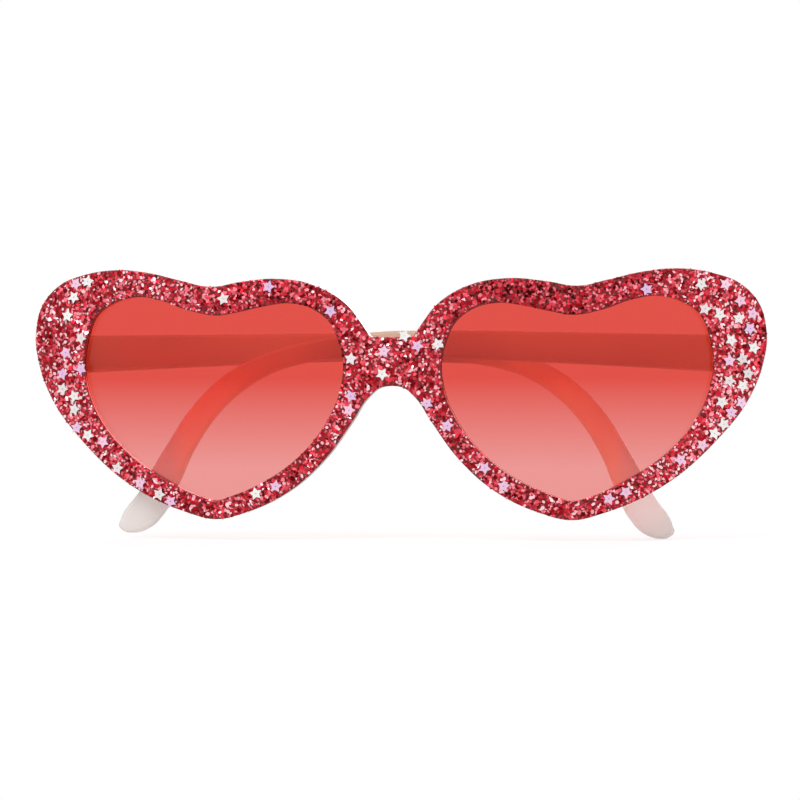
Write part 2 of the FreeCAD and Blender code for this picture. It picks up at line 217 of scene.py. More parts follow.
class GlitterSettings(PropertyGroup):
    """The flakes on the front and the bed that they lie in."""
    flake_width: length("Flake width", "Corner to corner of the largest flakes", 0.0012)
    flake_thickness: length("Flake thickness", "Thickness of a flake", 0.00004)
    smallest_share: share("Smallest flake", "Share of the width of the largest", 0.6)
    spark_share: share("Spark size", "Share of the width of a red flake", 0.85)
    spacing: length("Spacing", "Least distance between the middles of two flakes", 0.00046)
    lift: length("Lift", "How far flakes lie above the bed at most", 0.0001)
    tilt: angle("Tilt", "How far a flake leans at most", 14)
    edge_room: length("Edge room", "Distance from the edge where flakes reach their full width", 0.0006)
    edge_share: share("Edge flakes", "Share of the full width at the edge", 0.5)
    star_margin: length("Star margin", "Room that flakes leave around a star", 0.0001)
    seed: IntProperty(name="Seed", description="Number that sets the scatter", default=11)
    # Flake colours by tone paint shade and glints: shadow and deep paint flakes turned from the light,
    # rose and pink paint flakes turned to it, and spark paints glints; the real tilt adds lamp glints
    # too.
    shadow: colour("Darkest flakes", "Flakes turned from the light", srgb(62, 8, 10))
    deep: colour("Deep red flakes", "The darker flakes", srgb(128, 16, 22))
    red: colour("Red flakes", "The middle flakes", srgb(190, 32, 46))
    rose: colour("Rose flakes", "The lighter flakes", srgb(224, 76, 90))
    pink: colour("Pink flakes", "Flakes turned to the light", srgb(246, 146, 158))
    spark: colour("Sparks", "The few brightest flakes", srgb(254, 204, 210))
    bed: colour("Bed", "The resin between the flakes", srgb(110, 16, 22))


class StarSettings(PropertyGroup):
    """The star sequins."""
    width: length("Width", "Point to point across a star's circle", 0.00275)
    thickness: length("Thickness", "Thickness of the film", 0.00012)
    waist_share: share("Waist", "Inner corner's reach as a share of a point's", 0.52)
    hole: length("Hole", "Radius of the hole in a star's middle", 0.0001)
    tip_round: length("Tip rounding", "How far a star's corners are rounded", 0.0001)
    lift: length("Lift", "Height of a star above its CAD star's middle", 0.00008)
    tilt: angle("Tilt", "How far a star leans at most", 5)
    seed: IntProperty(name="Seed", description="Number that sets the leans", default=5)
    pearl: colour("Pearl", "White stars", srgb(204, 194, 195))
    # Mint and blush are painted sheen: glint tints mixed into the films' own colour.
    mint: colour("Mint", "Green glint on the white stars", srgb(214, 217, 214))
    lilac: colour("Lilac", "Lilac stars", srgb(196, 163, 200))
    blush: colour("Blush", "Pink glint on the lilac stars", srgb(222, 180, 196))


class LensSettings(PropertyGroup):
    """The tinted lenses."""
    top: colour("Top tint", "Tint above the gradient", (0.752, 0.065, 0.0465))
    bottom: colour("Bottom tint", "Tint below the gradient", (0.842, 0.302, 0.288))
    gradient_top: length("Gradient top", "Height where the red starts to fade", 0.0015)
    gradient_bottom: length("Gradient bottom", "Height where the pink is reached", -0.0165)


class PlasticSettings(PropertyGroup):
    """The moulded front and the side arms."""
    moulding: colour("Moulding", "The front's plastic", srgb(124, 24, 30))
    moulding_fleck: colour("Flecks", "Glitter that shows through the plastic", srgb(168, 48, 56))
    ivory: colour("Ivory", "The side arms' straight part", (0.795, 0.735, 0.59))
    # Painted shade and red lens light where the arms cross behind the bridge.
    warm_painted_shade: colour("Warm ivory", "The side arms where they cross behind the bridge", (0.74, 0.60, 0.495))
    # Painted light at the hinge end and on the bend.
    cream_painted_light: colour("Cream", "The side arms at the hinge and at the start of the bend", (0.96, 0.90, 0.73))
    # Painted red light from the lenses on the lower bend.
    peach_painted_lens_light: colour("Peach", "The lower half of the side arms' bend", (0.91, 0.77, 0.645))
    milk: colour("Milk", "The side arms' tips", (0.785, 0.75, 0.733))
    light_through: share("Light through", "Share of light that passes the side arms", 0.6)


class MetalSettings(PropertyGroup):
    """The hinges and their screws."""
    hinge: colour("Hinges", "Plated hinge halves", srgb(200, 198, 194))
    screw: colour("Screws", "Screws", srgb(176, 176, 178))


class StageSettings(PropertyGroup):
    """Camera, floor and lamps."""
    camera_distance: length("Camera distance", "From the nose arch to the camera", 0.8)
    camera_turn: angle("Camera turn", "How far the camera stands to the wearer's left", 6)
    camera_aside: length("Camera aside", "How far the picture's middle lies beside the nose arch", 0.0017)
    camera_rise: length("Camera rise", "How far the picture's middle lies above the nose arch", -0.0028)
    focal_length: FloatProperty(name="Focal length", description="In millimetres", unit="CAMERA",
                                default=180.0)
    floor_size: length("Floor size", "Side of the floor", 8.0)
    paper: colour("Paper", "The floor's own colour, where its shadow shows", (0.8, 0.8, 0.8))
    shadow_reach: length("Shadow reach", "How far from the nose arch the shadow starts to fade", 0.08)
    shadow_end: length("Shadow end", "How far from the nose arch the shadow has gone", 0.2)
    glow: share("Glow", "Share of plain white that covers the shadow near the object", 0.66)
    sky: FloatProperty(name="Sky", description="Light from all round", default=0.78)
    key_power: power("Key lamp", "Lamp at the front, on the wearer's right", 7.0)
    top_power: power("Top lamp", "Lamp above the front", 1.0)
    fill_power: power("Fill lamp", "Lamp at the front, on the wearer's left", 1.0)
    back_power: power("Back lamp", "Lamp behind the object", 4.5)


def select_only(piece):
    """Makes one object the only selected and active one."""
    if bpy.context.object and bpy.context.object.mode != "OBJECT":
        bpy.ops.object.mode_set(mode="OBJECT")
    bpy.ops.object.select_all(action="DESELECT")
    piece.select_set(True)
    bpy.context.view_layer.objects.active = piece


def edit_all(piece):
    """Opens an object's mesh for editing, with all of it selected."""
    select_only(piece)
    bpy.ops.object.mode_set(mode="EDIT")
    bpy.ops.mesh.select_all(action="SELECT")


def stop_editing():
    """Back to object mode."""
    bpy.ops.object.mode_set(mode="OBJECT")


def merged_copy(node, name):
    """A copy of a CAD node as one joined skin."""
    source = frame["nodes"][node]
    piece = bpy.data.objects.new(name, source.data.copy())
    bpy.context.scene.collection.objects.link(piece)
    edit_all(piece)
    bpy.ops.mesh.remove_doubles(threshold=MERGE_DISTANCE)
    bpy.ops.mesh.customdata_custom_splitnormals_clear()
    stop_editing()
    return piece


def paint_piece(piece, material):
    """Gives a whole piece one material."""
    piece.data.materials.clear()
    piece.data.materials.append(material)


def paint_node(node, material):
    """Puts a material on a CAD node's slots."""
    for slot in frame["nodes"][node].material_slots:
        slot.material = material


def remove(piece):
    """Deletes a helper object."""
    select_only(piece)
    bpy.ops.object.delete()


class Tree:
    """A node tree under construction."""

    def __init__(self, tree):
        self.nodes = tree.nodes
        self.links = tree.links

    def add(self, kind, **settings):
        """A new node with its settings."""
        node = self.nodes.new(kind)
        for key, value in settings.items():
            setattr(node, key, value)
        return node

    def link(self, source, target):
        """Joins two sockets."""
        self.links.new(source, target)

    def feed(self, value, target):
        """Joins a socket to the target, or sets a constant on it."""
        if isinstance(value, bpy.types.NodeSocket):
            self.link(value, target)
        else:
            target.default_value = value

    def work_out(self, operation, *values, clamp=False):
        """One Math node over sockets and constants."""
        node = self.add("ShaderNodeMath", operation=operation, use_clamp=clamp)
        for value, target in zip(values, node.inputs):
            self.feed(value, target)
        return node.outputs[0]

    def remap(self, value, start, end, low=0.0, high=1.0, curve="LINEAR"):
        """A number moved from one range to another, and held within it."""
        node = self.add("ShaderNodeMapRange", clamp=True, interpolation_type=curve)
        for name, limit in (("From Min", start), ("From Max", end), ("To Min", low), ("To Max", high)):
            node.inputs[name].default_value = limit
        self.link(value, node.inputs["Value"])
        return node.outputs["Result"]

    def noise(self, place, scale, detail):
        """Soft noise over a surface."""
        node = self.add("ShaderNodeTexNoise")
        for name, value in (("Vector", place), ("Scale", scale), ("Detail", detail)):
            self.feed(value, node.inputs[name])
        return node.outputs["Fac"]


class Effect(Tree):
    """A shader node group under construction: an effect that several materials share."""

    def __init__(self, name, inputs, outputs):
        self.group = bpy.data.node_groups.new(name, "ShaderNodeTree")
        super().__init__(self.group)
        sockets = self.group.interface
        sockets.new_socket("Place", in_out="INPUT", socket_type="NodeSocketVector")
        for title in inputs:
            sockets.new_socket(title, in_out="INPUT", socket_type="NodeSocketFloat")
        for title in outputs:
            sockets.new_socket(title, in_out="OUTPUT", socket_type="NodeSocketFloat")
        self.entry = self.add("NodeGroupInput").outputs
        self.leave = self.add("NodeGroupOutput").inputs


def build_grain(name):
    """Uneven roughness and height."""
    effect = Effect(name, ("Scale", "Roughness", "Spread"), ("Roughness", "Height"))
    spread = effect.entry["Spread"]
    uneven = effect.noise(effect.entry["Place"], effect.entry["Scale"], GRAIN_DETAIL)
    half = effect.work_out("MULTIPLY", spread, 0.5)
    least = effect.work_out("SUBTRACT", effect.entry["Roughness"], half)
    effect.link(effect.work_out("MULTIPLY_ADD", uneven, spread, least), effect.leave["Roughness"])
    effect.link(uneven, effect.leave["Height"])


def build_dust(name):
    """Glitter dust, each grain with its own brightness."""
    effect = Effect(name, ("Scale",), ("Brightness",))
    cells = effect.add("ShaderNodeTexVoronoi")
    effect.link(effect.entry["Place"], cells.inputs["Vector"])
    effect.link(effect.entry["Scale"], cells.inputs["Scale"])
    split = effect.add("ShaderNodeSeparateColor")
    effect.link(cells.outputs["Color"], split.inputs["Color"])
    effect.link(split.outputs["Red"], effect.leave["Brightness"])


def build_sheen(name):
    """A sequin's painted sheen: its change of tint towards its glint across each star, offset at random
    from star to star.
    """
    effect = Effect(name, ("Tone",), ("Change",))
    across = effect.noise(effect.entry["Place"], SHEEN_SCALE, SHEEN_DETAIL)
    between = effect.remap(effect.entry["Tone"], 0.0, 1.0, -STAR_SHIFT, STAR_SHIFT)
    change = effect.work_out("MULTIPLY_ADD", across, SHEEN_SHARE, between, clamp=True)
    effect.link(change, effect.leave["Change"])


def build_marks(name):
    """Fine rubbing marks."""
    effect = Effect(name, (), ("Amount",))
    marks = effect.noise(effect.entry["Place"], MARK_SCALE, MARK_DETAIL)
    effect.link(marks, effect.leave["Amount"])


EFFECTS = {
    "Surface grain": build_grain,
    "Glitter dust": build_dust,
    "Pearl sheen": build_sheen,
    "Rubbing marks": build_marks,
}


class Shader(Tree):
    """A material under construction, around its Principled surface."""

    def __init__(self, name):
        self.material = bpy.data.materials.new(name)
        self.material.use_nodes = True
        super().__init__(self.material.node_tree)
        self.surface = self.nodes["Principled BSDF"]
        self.output = self.nodes["Material Output"]

    def set(self, **values):
        """Constants on the surface's sockets."""
        for key, value in values.items():
            self.surface.inputs[key.replace("_", " ")].default_value = value

    def tint(self, source):
        """The colour of the surface."""
        self.link(source, self.surface.inputs["Base Color"])

    def place(self):
        """The object's own coordinates."""
        return self.add("ShaderNodeTexCoord").outputs["Object"]

    def along(self, axis):
        """The object's own coordinate along one axis."""
        split = self.add("ShaderNodeSeparateXYZ")
        self.link(self.place(), split.inputs["Vector"])
        return split.outputs[axis]

    def tone(self):
        """The tone that each flake or star carries."""
        return self.add("ShaderNodeAttribute", attribute_name=TONE).outputs["Fac"]

    def ramp(self, factor, stops, settings):
        """A colour ramp over the factor, whose stops name colours of the settings."""
        node = self.add("ShaderNodeValToRGB")
        elements = node.color_ramp.elements
        while len(elements) < len(stops):
            elements.new(1.0)
        for element, (position, shade) in zip(elements, stops):
            element.position = position
            element.color = (*getattr(settings, shade), 1.0)
        self.link(factor, node.inputs["Fac"])
        return node.outputs["Color"]

    def blend(self, factor, first, second):
        """A mix of two colours."""
        node = self.add("ShaderNodeMix", data_type="RGBA")
        self.link(factor, node.inputs["Factor"])
        for name, shade in (("A", first), ("B", second)):
            target = [s for s in node.inputs if s.name == name and s.type == "RGBA"][0]
            target.default_value = (*shade, 1.0)
        return [s for s in node.outputs if s.type == "RGBA"][0]

    def effect(self, name, **values):
        """Places a shared effect, which is built the first time, with values of its own."""
        if name not in bpy.data.node_groups:
            EFFECTS[name](name)
        node = self.add("ShaderNodeGroup")
        node.node_tree = bpy.data.node_groups[name]
        self.link(self.place(), node.inputs["Place"])
        for key, value in values.items():
            self.feed(value, node.inputs[key])
        return node.outputs

    def grain(self, finish):
        """Fine unevenness of the surface."""
        scale, roughness, spread, height = GRAIN[finish]
        uneven = self.effect("Surface grain", Scale=scale, Roughness=roughness, Spread=spread)
        bump = self.add("ShaderNodeBump")
        bump.inputs["Strength"].default_value = GRAIN_STRENGTH
        bump.inputs["Distance"].default_value = height
        self.link(uneven["Height"], bump.inputs["Height"])
        self.link(uneven["Roughness"], self.surface.inputs["Roughness"])
        self.link(bump.outputs["Normal"], self.surface.inputs["Normal"])

    def mix_in(self, factor, other):
        """Shows the surface mixed with another shader."""
        node = self.add("ShaderNodeMixShader")
        self.feed(factor, node.inputs["Fac"])
        self.link(self.surface.outputs["BSDF"], node.inputs[1])
        self.link(other, node.inputs[2])
        self.link(node.outputs["Shader"], self.output.inputs["Surface"])


def moulding_material(settings):
    """Dark red plastic with the glitter showing faintly through it."""
    shader = Shader("Moulded red plastic")
    dust = shader.effect("Glitter dust", Scale=FLECK_SCALE)
    fleck = shader.remap(dust["Brightness"], FLECK_START, 1.0)
    shader.tint(shader.blend(fleck, settings.moulding, settings.moulding_fleck))
    shader.grain("moulding")
    shader.set(Coat_Weight=0.3, Coat_Roughness=0.12, IOR=1.5)
    return shader.material


def bed_material(settings):
    """The resin bed between the flakes, with fine glitter dust in it."""
    shader = Shader("Glitter bed")
    dust = shader.effect("Glitter dust", Scale=DUST_SCALE)
    shader.tint(shader.ramp(dust["Brightness"], BED_TONES, settings))
    shader.grain("bed")
    shader.set(Metallic=0.35, Coat_Weight=0.08, Coat_Roughness=0.15)
    return shader.material


def flake_material(settings):
    """Metallic flakes, each with its own tone that paints its shade or glint, with painted shade and
    light in patches.
    """
    shader = Shader("Glitter flakes")
    drift = shader.noise(shader.place(), DRIFT_SCALE, DRIFT_DETAIL)
    changes = [shader.remap(drift, *DRIFT_RANGE, 0.0, DRIFT_LIFT)]
    # Painted shade and light: the patches make the flakes' tone duller or lighter.
    for middle, radius, strength in PAINTED_GLITTER_SHADE_AND_LIGHT:
        apart = shader.add("ShaderNodeVectorMath", operation="DISTANCE")
        apart.inputs[1].default_value = middle
        shader.link(shader.place(), apart.inputs[0])
        changes.append(shader.remap(apart.outputs["Value"], 0.0, radius, strength, 0.0, "SMOOTHSTEP"))
    total = shader.tone()
    for change in changes:
        total = shader.work_out("ADD", total, change, clamp=True)
    # The tone ramp paints each flake's shade or glint.
    shader.tint(shader.ramp(total, FLAKE_TONES, settings))
    shader.set(Metallic=1.0, Roughness=0.32)
    return shader.material


def sequin_material(name, base, glint):
    """Pearly film whose tint changes towards a painted glint tint, from star to star and across each."""
    shader = Shader(name)
    sheen = shader.effect("Pearl sheen", Tone=shader.tone())
    shader.tint(shader.blend(sheen["Change"], base, glint))
    shader.grain("sequin")
    shader.set(Metallic=0.1, Coat_Weight=0.2, Coat_Roughness=0.1)
    return shader.material


def lens_material(settings):
    """Clear plastic, tinted red above and pink below, that lets the lamps through."""
    shader = Shader("Tinted lens")
    fade = shader.remap(shader.along("Z"), settings.gradient_top, settings.gradient_bottom)
    tint = shader.blend(fade, settings.top, settings.bottom)
    shader.tint(tint)
    shader.set(Roughness=0.0, IOR=LENS_INDEX, Transmission_Weight=1.0)
    wall = shader.add("ShaderNodeGamma")
    wall.inputs["Gamma"].default_value = ONE_WALL
    shader.link(tint, wall.inputs["Color"])
    clear = shader.add("ShaderNodeBsdfTransparent")
    shader.link(wall.outputs["Color"], clear.inputs["Color"])
    path = shader.add("ShaderNodeLightPath")
    shader.mix_in(path.outputs["Is Shadow Ray"], clear.outputs["BSDF"])
    return shader.material


def arm_material(settings, name, tip_side):
    """Milky plastic that lets light through, tinted along the arm from the hinge to the tip, with painted
    shade and light in the tint.
    """
    shader = Shader(name)
    start, end = ARM_TINTS[0][0], ARM_TINTS[-1][0]
    along = shader.remap(shader.along("X"), tip_side * start, tip_side * end)
    stops = [((place - start) / (end - start), shade) for place, shade in ARM_TINTS]
    tint = shader.ramp(along, stops, settings)
    shader.tint(tint)
    shader.grain("arm")
    shader.set(Coat_Weight=0.15, Coat_Roughness=0.1, IOR=1.49)
    through = shader.add("ShaderNodeBsdfTranslucent")
    shader.link(tint, through.inputs["Color"])
    shader.mix_in(settings.light_through, through.outputs["BSDF"])
    return shader.material


def metal_material(name, tint, finish):
    """Metal with fine rubbing marks."""
    shader = Shader(name)
    marks = shader.effect("Rubbing marks")
    shader.tint(shader.blend(marks["Amount"], tint, [WORN_SHARE * level for level in tint]))
    shader.grain(finish)
    shader.set(Metallic=1.0)
    return shader.material


class SUNGLASSES_OT_moulded_front(Operator):
    """Finish the moulded front and the glitter bed"""
    bl_idname = "sunglasses.moulded_front"
    bl_label = "Moulded front"

    def execute(self, context):
        """Puts the plastic and the resin on the two CAD nodes of the front."""
        scene = context.scene
        paint_node("frame_front", moulding_material(scene.sunglasses_plastic))
        paint_node("glitter_face", bed_material(scene.sunglasses_glitter))
        return {"FINISHED"}


def model_star(settings):
    """One star sequin with a hole, flat on the ground with a point towards +X."""
    bpy.ops.object.select_all(action="DESELECT")
    bpy.ops.mesh.primitive_circle_add(vertices=2 * STAR_POINTS, radius=settings.width / 2,
                                      fill_type="NGON")
    star = bpy.context.object
    star.name = "star_pattern"
    first = star.data.vertices[0].co
    turn = math.atan2(first.y, first.x)
    edit_all(star)
    bpy.ops.mesh.select_all(action="DESELECT")
    stop_editing()
    # Every second corner of the circle is drawn in to the waist.
    for vertex in star.data.vertices:
        vertex.select = vertex.index % 2 == 1
    bpy.ops.object.mode_set(mode="EDIT")
    waist = settings.waist_share
    bpy.ops.transform.resize(value=(waist, waist, 1.0), center_override=(0, 0, 0))
    bpy.ops.mesh.select_all(action="SELECT")
    bpy.ops.mesh.bevel(offset=settings.tip_round, segments=TIP_SEGMENTS, affect="VERTICES")
    bpy.ops.mesh.select_all(action="SELECT")
    # The inset face is made round, shrunk to the hole and deleted.
    bpy.ops.mesh.inset(thickness=settings.tip_round)
    bpy.ops.transform.tosphere(value=1.0, center_override=(0, 0, 0))
    stop_editing()
    rim = [vertex.co.length for vertex in star.data.vertices if vertex.select]
    shrink = settings.hole * len(rim) / sum(rim)
    bpy.ops.object.mode_set(mode="EDIT")
    bpy.ops.transform.resize(value=(shrink, shrink, 1.0), center_override=(0, 0, 0))
    bpy.ops.mesh.delete(type="FACE")
    stop_editing()
    film = star.modifiers.new("Film", "SOLIDIFY")
    film.thickness = settings.thickness
    film.offset = 1.0
    bpy.ops.object.modifier_apply(modifier=film.name)
    star.data.transform(Matrix.Rotation(-turn, 4, "Z"))
    return star


def star_seats(node):
    """Where a CAD node's stars sit: middle, outward direction and the direction of one point."""
    guide = merged_copy(node, "star_guide")
    edit_all(guide)
    bpy.ops.mesh.separate(type="LOOSE")
    stop_editing()
    seats = []
    guides = list(bpy.context.selected_objects)
    for part in sorted(guides, key=lambda o: o.name):
        corners = [vertex.co.copy() for vertex in part.data.vertices]
        middle = sum(corners, Vector()) / len(corners)
        front = [face for face in part.data.polygons if face.normal.dot(FORWARDS) > FRONT_FACING]
        out = sum((face.normal * face.area for face in front), Vector()).normalized()
        tip = max(corners, key=lambda corner: (corner - middle).length) - middle
        tip = (tip - out * tip.dot(out)).normalized()
        seats.append((middle, out, tip))
    for part in guides:
        remove(part)
    return seats


class SUNGLASSES_OT_star_sequins(Operator):
    """Lay the pearl and lilac star sequins on the front"""
    bl_idname = "sunglasses.star_sequins"
    bl_label = "Star sequins"

    def execute(self, context):
        """Sets a modelled star at each of the CAD stars' places."""
        settings = context.scene.sunglasses_stars
        films = {
            "pearl_stars": ("pearl_sequin", "Pearl film", settings.pearl, settings.mint),
            "lilac_stars": ("lilac_sequin", "Lilac film", settings.lilac, settings.blush),
        }
        chance = random.Random(settings.seed)
        pattern = model_star(settings)
        for node, (slot, film, base, glint) in films.items():
            copies = [self.seated(pattern, settings, chance, seat) for seat in star_seats(node)]
            piece = self.joined(copies, node.replace("stars", "star_sequins"))
            paint_piece(piece, sequin_material(film, base, glint))
            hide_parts(node)
            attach(piece, "front")
        remove(pattern)
        return {"FINISHED"}

    @staticmethod
    def seated(pattern, settings, chance, seat):
        """A copy of the star at one seat, leaning a little, with its own tone."""
        middle, out, tip = seat
        side = out.cross(tip)
        stand = Matrix((tip, side, out)).transposed().to_4x4()
        lean = Matrix.Rotation(chance.uniform(-settings.tilt, settings.tilt), 4, "X")
        lean = lean @ Matrix.Rotation(chance.uniform(-settings.tilt, settings.tilt), 4, "Y")
        star = pattern.copy()
        star.data = pattern.data.copy()
        bpy.context.scene.collection.objects.link(star)
        star.data.transform(Matrix.Translation(middle + out * settings.lift) @ stand @ lean)
        tone = star.data.attributes.new(TONE, "FLOAT", "POINT")
        value = chance.random()
        for item in tone.data:
            item.value = value
        return star

    @staticmethod
    def joined(copies, name):
        """One object made of all the copies."""
        select_only(copies[0])
        for star in copies:
            star.select_set(True)
        bpy.ops.object.join()
        bpy.context.object.name = name
        return bpy.context.object


def model_flakes(settings):
    """Flakes of different outline, in a collection of their own."""
    box = bpy.data.collections.new("flake_patterns")
    bpy.context.scene.collection.children.link(box)
    for index, (corners, squeeze) in enumerate(FLAKE_SHAPES):
        bpy.ops.object.select_all(action="DESELECT")
        bpy.ops.mesh.primitive_cylinder_add(vertices=corners, radius=settings.flake_width / 2,
                                            depth=settings.flake_thickness)
        flake = bpy.context.object
        flake.name = "flake_pattern_%d" % index
        edit_all(flake)
        bpy.ops.transform.resize(value=(1.0, squeeze, 1.0), center_override=(0, 0, 0))
        stop_editing()
        for owner in flake.users_collection:
            owner.objects.unlink(flake)
        box.objects.link(flake)
    return box


class Scatter(Tree):
    """A geometry node tree under construction."""

    def __init__(self, name):
        self.tree = bpy.data.node_groups.new(name, "GeometryNodeTree")
        super().__init__(self.tree)
        for way in ("INPUT", "OUTPUT"):
            self.tree.interface.new_socket("Geometry", in_out=way, socket_type="NodeSocketGeometry")
        self.entry = self.add("NodeGroupInput").outputs["Geometry"]
        self.leave = self.add("NodeGroupOutput").inputs["Geometry"]

    def chance(self, kind, low, high, seed):
        """A random number or vector for each flake."""
        node = self.add("FunctionNodeRandomValue", data_type=kind)
        fitting = {"FLOAT": "VALUE", "FLOAT_VECTOR": "VECTOR"}[kind]
        for name, limit in (("Min", low), ("Max", high)):
            target = [s for s in node.inputs if s.name == name and s.type == fitting][0]
            target.default_value = limit
        node.inputs["Seed"].default_value = seed
        return [s for s in node.outputs if s.type == fitting][0]

    def above(self, source, limit):
        """Whether a number is over a limit."""
        node = self.add("FunctionNodeCompare", data_type="FLOAT", operation="GREATER_THAN")
        self.link(source, node.inputs[0])
        node.inputs[1].default_value = limit
        return node.outputs["Result"]

    def distance(self, target):
        """How far a flake's place is from a mesh."""
        node = self.add("GeometryNodeProximity", target_element="FACES")
        self.link(target, node.inputs[0])
        return node.outputs["Distance"]

    def separate(self, geometry, selection, domain):
        """The selected part of the geometry, and the rest."""
        node = self.add("GeometryNodeSeparateGeometry", domain=domain)
        self.link(geometry, node.inputs["Geometry"])
        self.link(selection, node.inputs["Selection"])
        return node.outputs["Selection"], node.outputs["Inverted"]


def flake_places(scatter, settings, front, stars):
    """Points over the front, clear of the stars and lifted a little, and the node that spreads them."""
    spread = scatter.add("GeometryNodeDistributePointsOnFaces", distribute_method="POISSON")
    spread.inputs["Distance Min"].default_value = settings.spacing
    spread.inputs["Density Max"].default_value = PLACES_TRIED / settings.spacing ** 2
    spread.inputs["Seed"].default_value = settings.seed
    scatter.link(scatter.entry, spread.inputs["Mesh"])
    scatter.link(front, spread.inputs["Selection"])
    points = spread.outputs["Points"]
    for star in stars:
        source = scatter.add("GeometryNodeObjectInfo")
        source.inputs["Object"].default_value = star
        clear = scatter.above(scatter.distance(source.outputs["Geometry"]), settings.star_margin)
        points, _ = scatter.separate(points, clear, "POINT")
    raised = scatter.add("ShaderNodeVectorMath", operation="SCALE")
    scatter.link(spread.outputs["Normal"], raised.inputs[0])
    scatter.link(scatter.chance("FLOAT", 0.0, settings.lift, settings.seed), raised.inputs["Scale"])
    lifted = scatter.add("GeometryNodeSetPosition")
    scatter.link(points, lifted.inputs["Geometry"])
    scatter.link(raised.outputs["Vector"], lifted.inputs["Offset"])
    return lifted.outputs["Geometry"], spread


def flake_turns(scatter, settings, upright):
    """How each flake lies: turned at random and leaning a little from the front's own direction."""
    tilt = settings.tilt
    turns = scatter.chance("FLOAT_VECTOR", (-tilt, -tilt, 0.0), (tilt, tilt, math.tau), settings.seed + 1)
    lean = scatter.add("FunctionNodeEulerToRotation")
    scatter.link(turns, lean.inputs["Euler"])
    stand = scatter.add("FunctionNodeRotateRotation", rotation_space="LOCAL")
    scatter.link(upright, stand.inputs["Rotation"])
    scatter.link(lean.outputs["Rotation"], stand.inputs["Rotate By"])
    return stand.outputs["Rotation"]


def flake_sizes(scatter, settings, front, tone):
    """Size of each flake: mixed, smaller near the edge and for sparks."""
    _, walls = scatter.separate(scatter.entry, front, "FACE")
    room = scatter.remap(scatter.distance(walls), 0.0, settings.edge_room, settings.edge_share, 1.0)
    spark = scatter.remap(tone, SPARK_START, 1.0, 1.0, settings.spark_share)
    size = scatter.chance("FLOAT", settings.smallest_share, 1.0, settings.seed + 2)
    for part in (room, spark):
        size = scatter.work_out("MULTIPLY", size, part)
    return size


def flake_scatter(settings, patterns, stars):
    """Node tree: flakes all over the front of a face, clear of the stars."""
    scatter = Scatter("Flake scatter")
    normal = scatter.add("GeometryNodeInputNormal")
    facing = scatter.add("ShaderNodeVectorMath", operation="DOT_PRODUCT")
    facing.inputs[1].default_value = FORWARDS
    scatter.link(normal.outputs["Normal"], facing.inputs[0])
    front = scatter.above(facing.outputs["Value"], FRONT_FACING)
    points, spread = flake_places(scatter, settings, front, stars)
    tone = scatter.chance("FLOAT", 0.0, 1.0, settings.seed + 3)
    shapes = scatter.add("GeometryNodeCollectionInfo")
    shapes.inputs["Collection"].default_value = patterns
    shapes.inputs["Separate Children"].default_value = True
    shapes.inputs["Reset Children"].default_value = True
    placed = scatter.add("GeometryNodeInstanceOnPoints")
    placed.inputs["Pick Instance"].default_value = True
    scatter.link(points, placed.inputs["Points"])
    scatter.link(shapes.outputs["Instances"], placed.inputs["Instance"])
    scatter.link(flake_turns(scatter, settings, spread.outputs["Rotation"]), placed.inputs["Rotation"])
    scatter.link(flake_sizes(scatter, settings, front, tone), placed.inputs["Scale"])
    toned = scatter.add("GeometryNodeStoreNamedAttribute", data_type="FLOAT", domain="INSTANCE")
    toned.inputs["Name"].default_value = TONE
    scatter.link(placed.outputs["Instances"], toned.inputs["Geometry"])
    scatter.link(tone, toned.inputs["Value"])
    solid = scatter.add("GeometryNodeRealizeInstances")
    scatter.link(toned.outputs["Geometry"], solid.inputs["Geometry"])
    scatter.link(solid.outputs["Geometry"], scatter.leave)
    return scatter.tree


class SUNGLASSES_OT_glitter_flakes(Operator):
    """Scatter the glitter flakes over the front"""
    bl_idname = "sunglasses.glitter_flakes"
    bl_label = "Glitter flakes"

    def execute(self, context):
        """Scatters flakes on a copy of the glitter face, and keeps only the flakes."""
        settings = context.scene.sunglasses_glitter
        patterns = model_flakes(settings)
        stars = [bpy.data.objects["pearl_star_sequins"], bpy.data.objects["lilac_star_sequins"]]
        piece = merged_copy("glitter_face", "glitter_flakes")
        modifier = piece.modifiers.new("Flakes", "NODES")
        modifier.node_group = flake_scatter(settings, patterns, stars)
        bpy.ops.object.modifier_apply(modifier=modifier.name)
        if not piece.data.polygons:
            raise RuntimeError("No flake found a place on the front")
        paint_piece(piece, flake_material(settings))
        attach(piece, "front")
        for flake in list(patterns.objects):
            remove(flake)
        bpy.data.collections.remove(patterns)
        return {"FINISHED"}


class SUNGLASSES_OT_tinted_lenses(Operator):
    """Tint the two lenses"""
    bl_idname = "sunglasses.tinted_lenses"
    bl_label = "Tinted lenses"

    def execute(self, context):
        """Puts the tinted plastic on the CAD nodes of both lenses."""
        material = lens_material(context.scene.sunglasses_lenses)
        for node in ("left_lens", "right_lens"):
            paint_node(node, material)
        return {"FINISHED"}


class SUNGLASSES_OT_side_arms(Operator):
    """Finish the two milky side arms"""
    bl_idname = "sunglasses.side_arms"
    bl_label = "Side arms"

    def execute(self, context):
        """Puts the milky plastic on the CAD nodes of both arms."""
        settings = context.scene.sunglasses_plastic
        paint_node("left_temple", arm_material(settings, "Milky plastic, left arm", -1))
        paint_node("right_temple", arm_material(settings, "Milky plastic, right arm", 1))
        return {"FINISHED"}


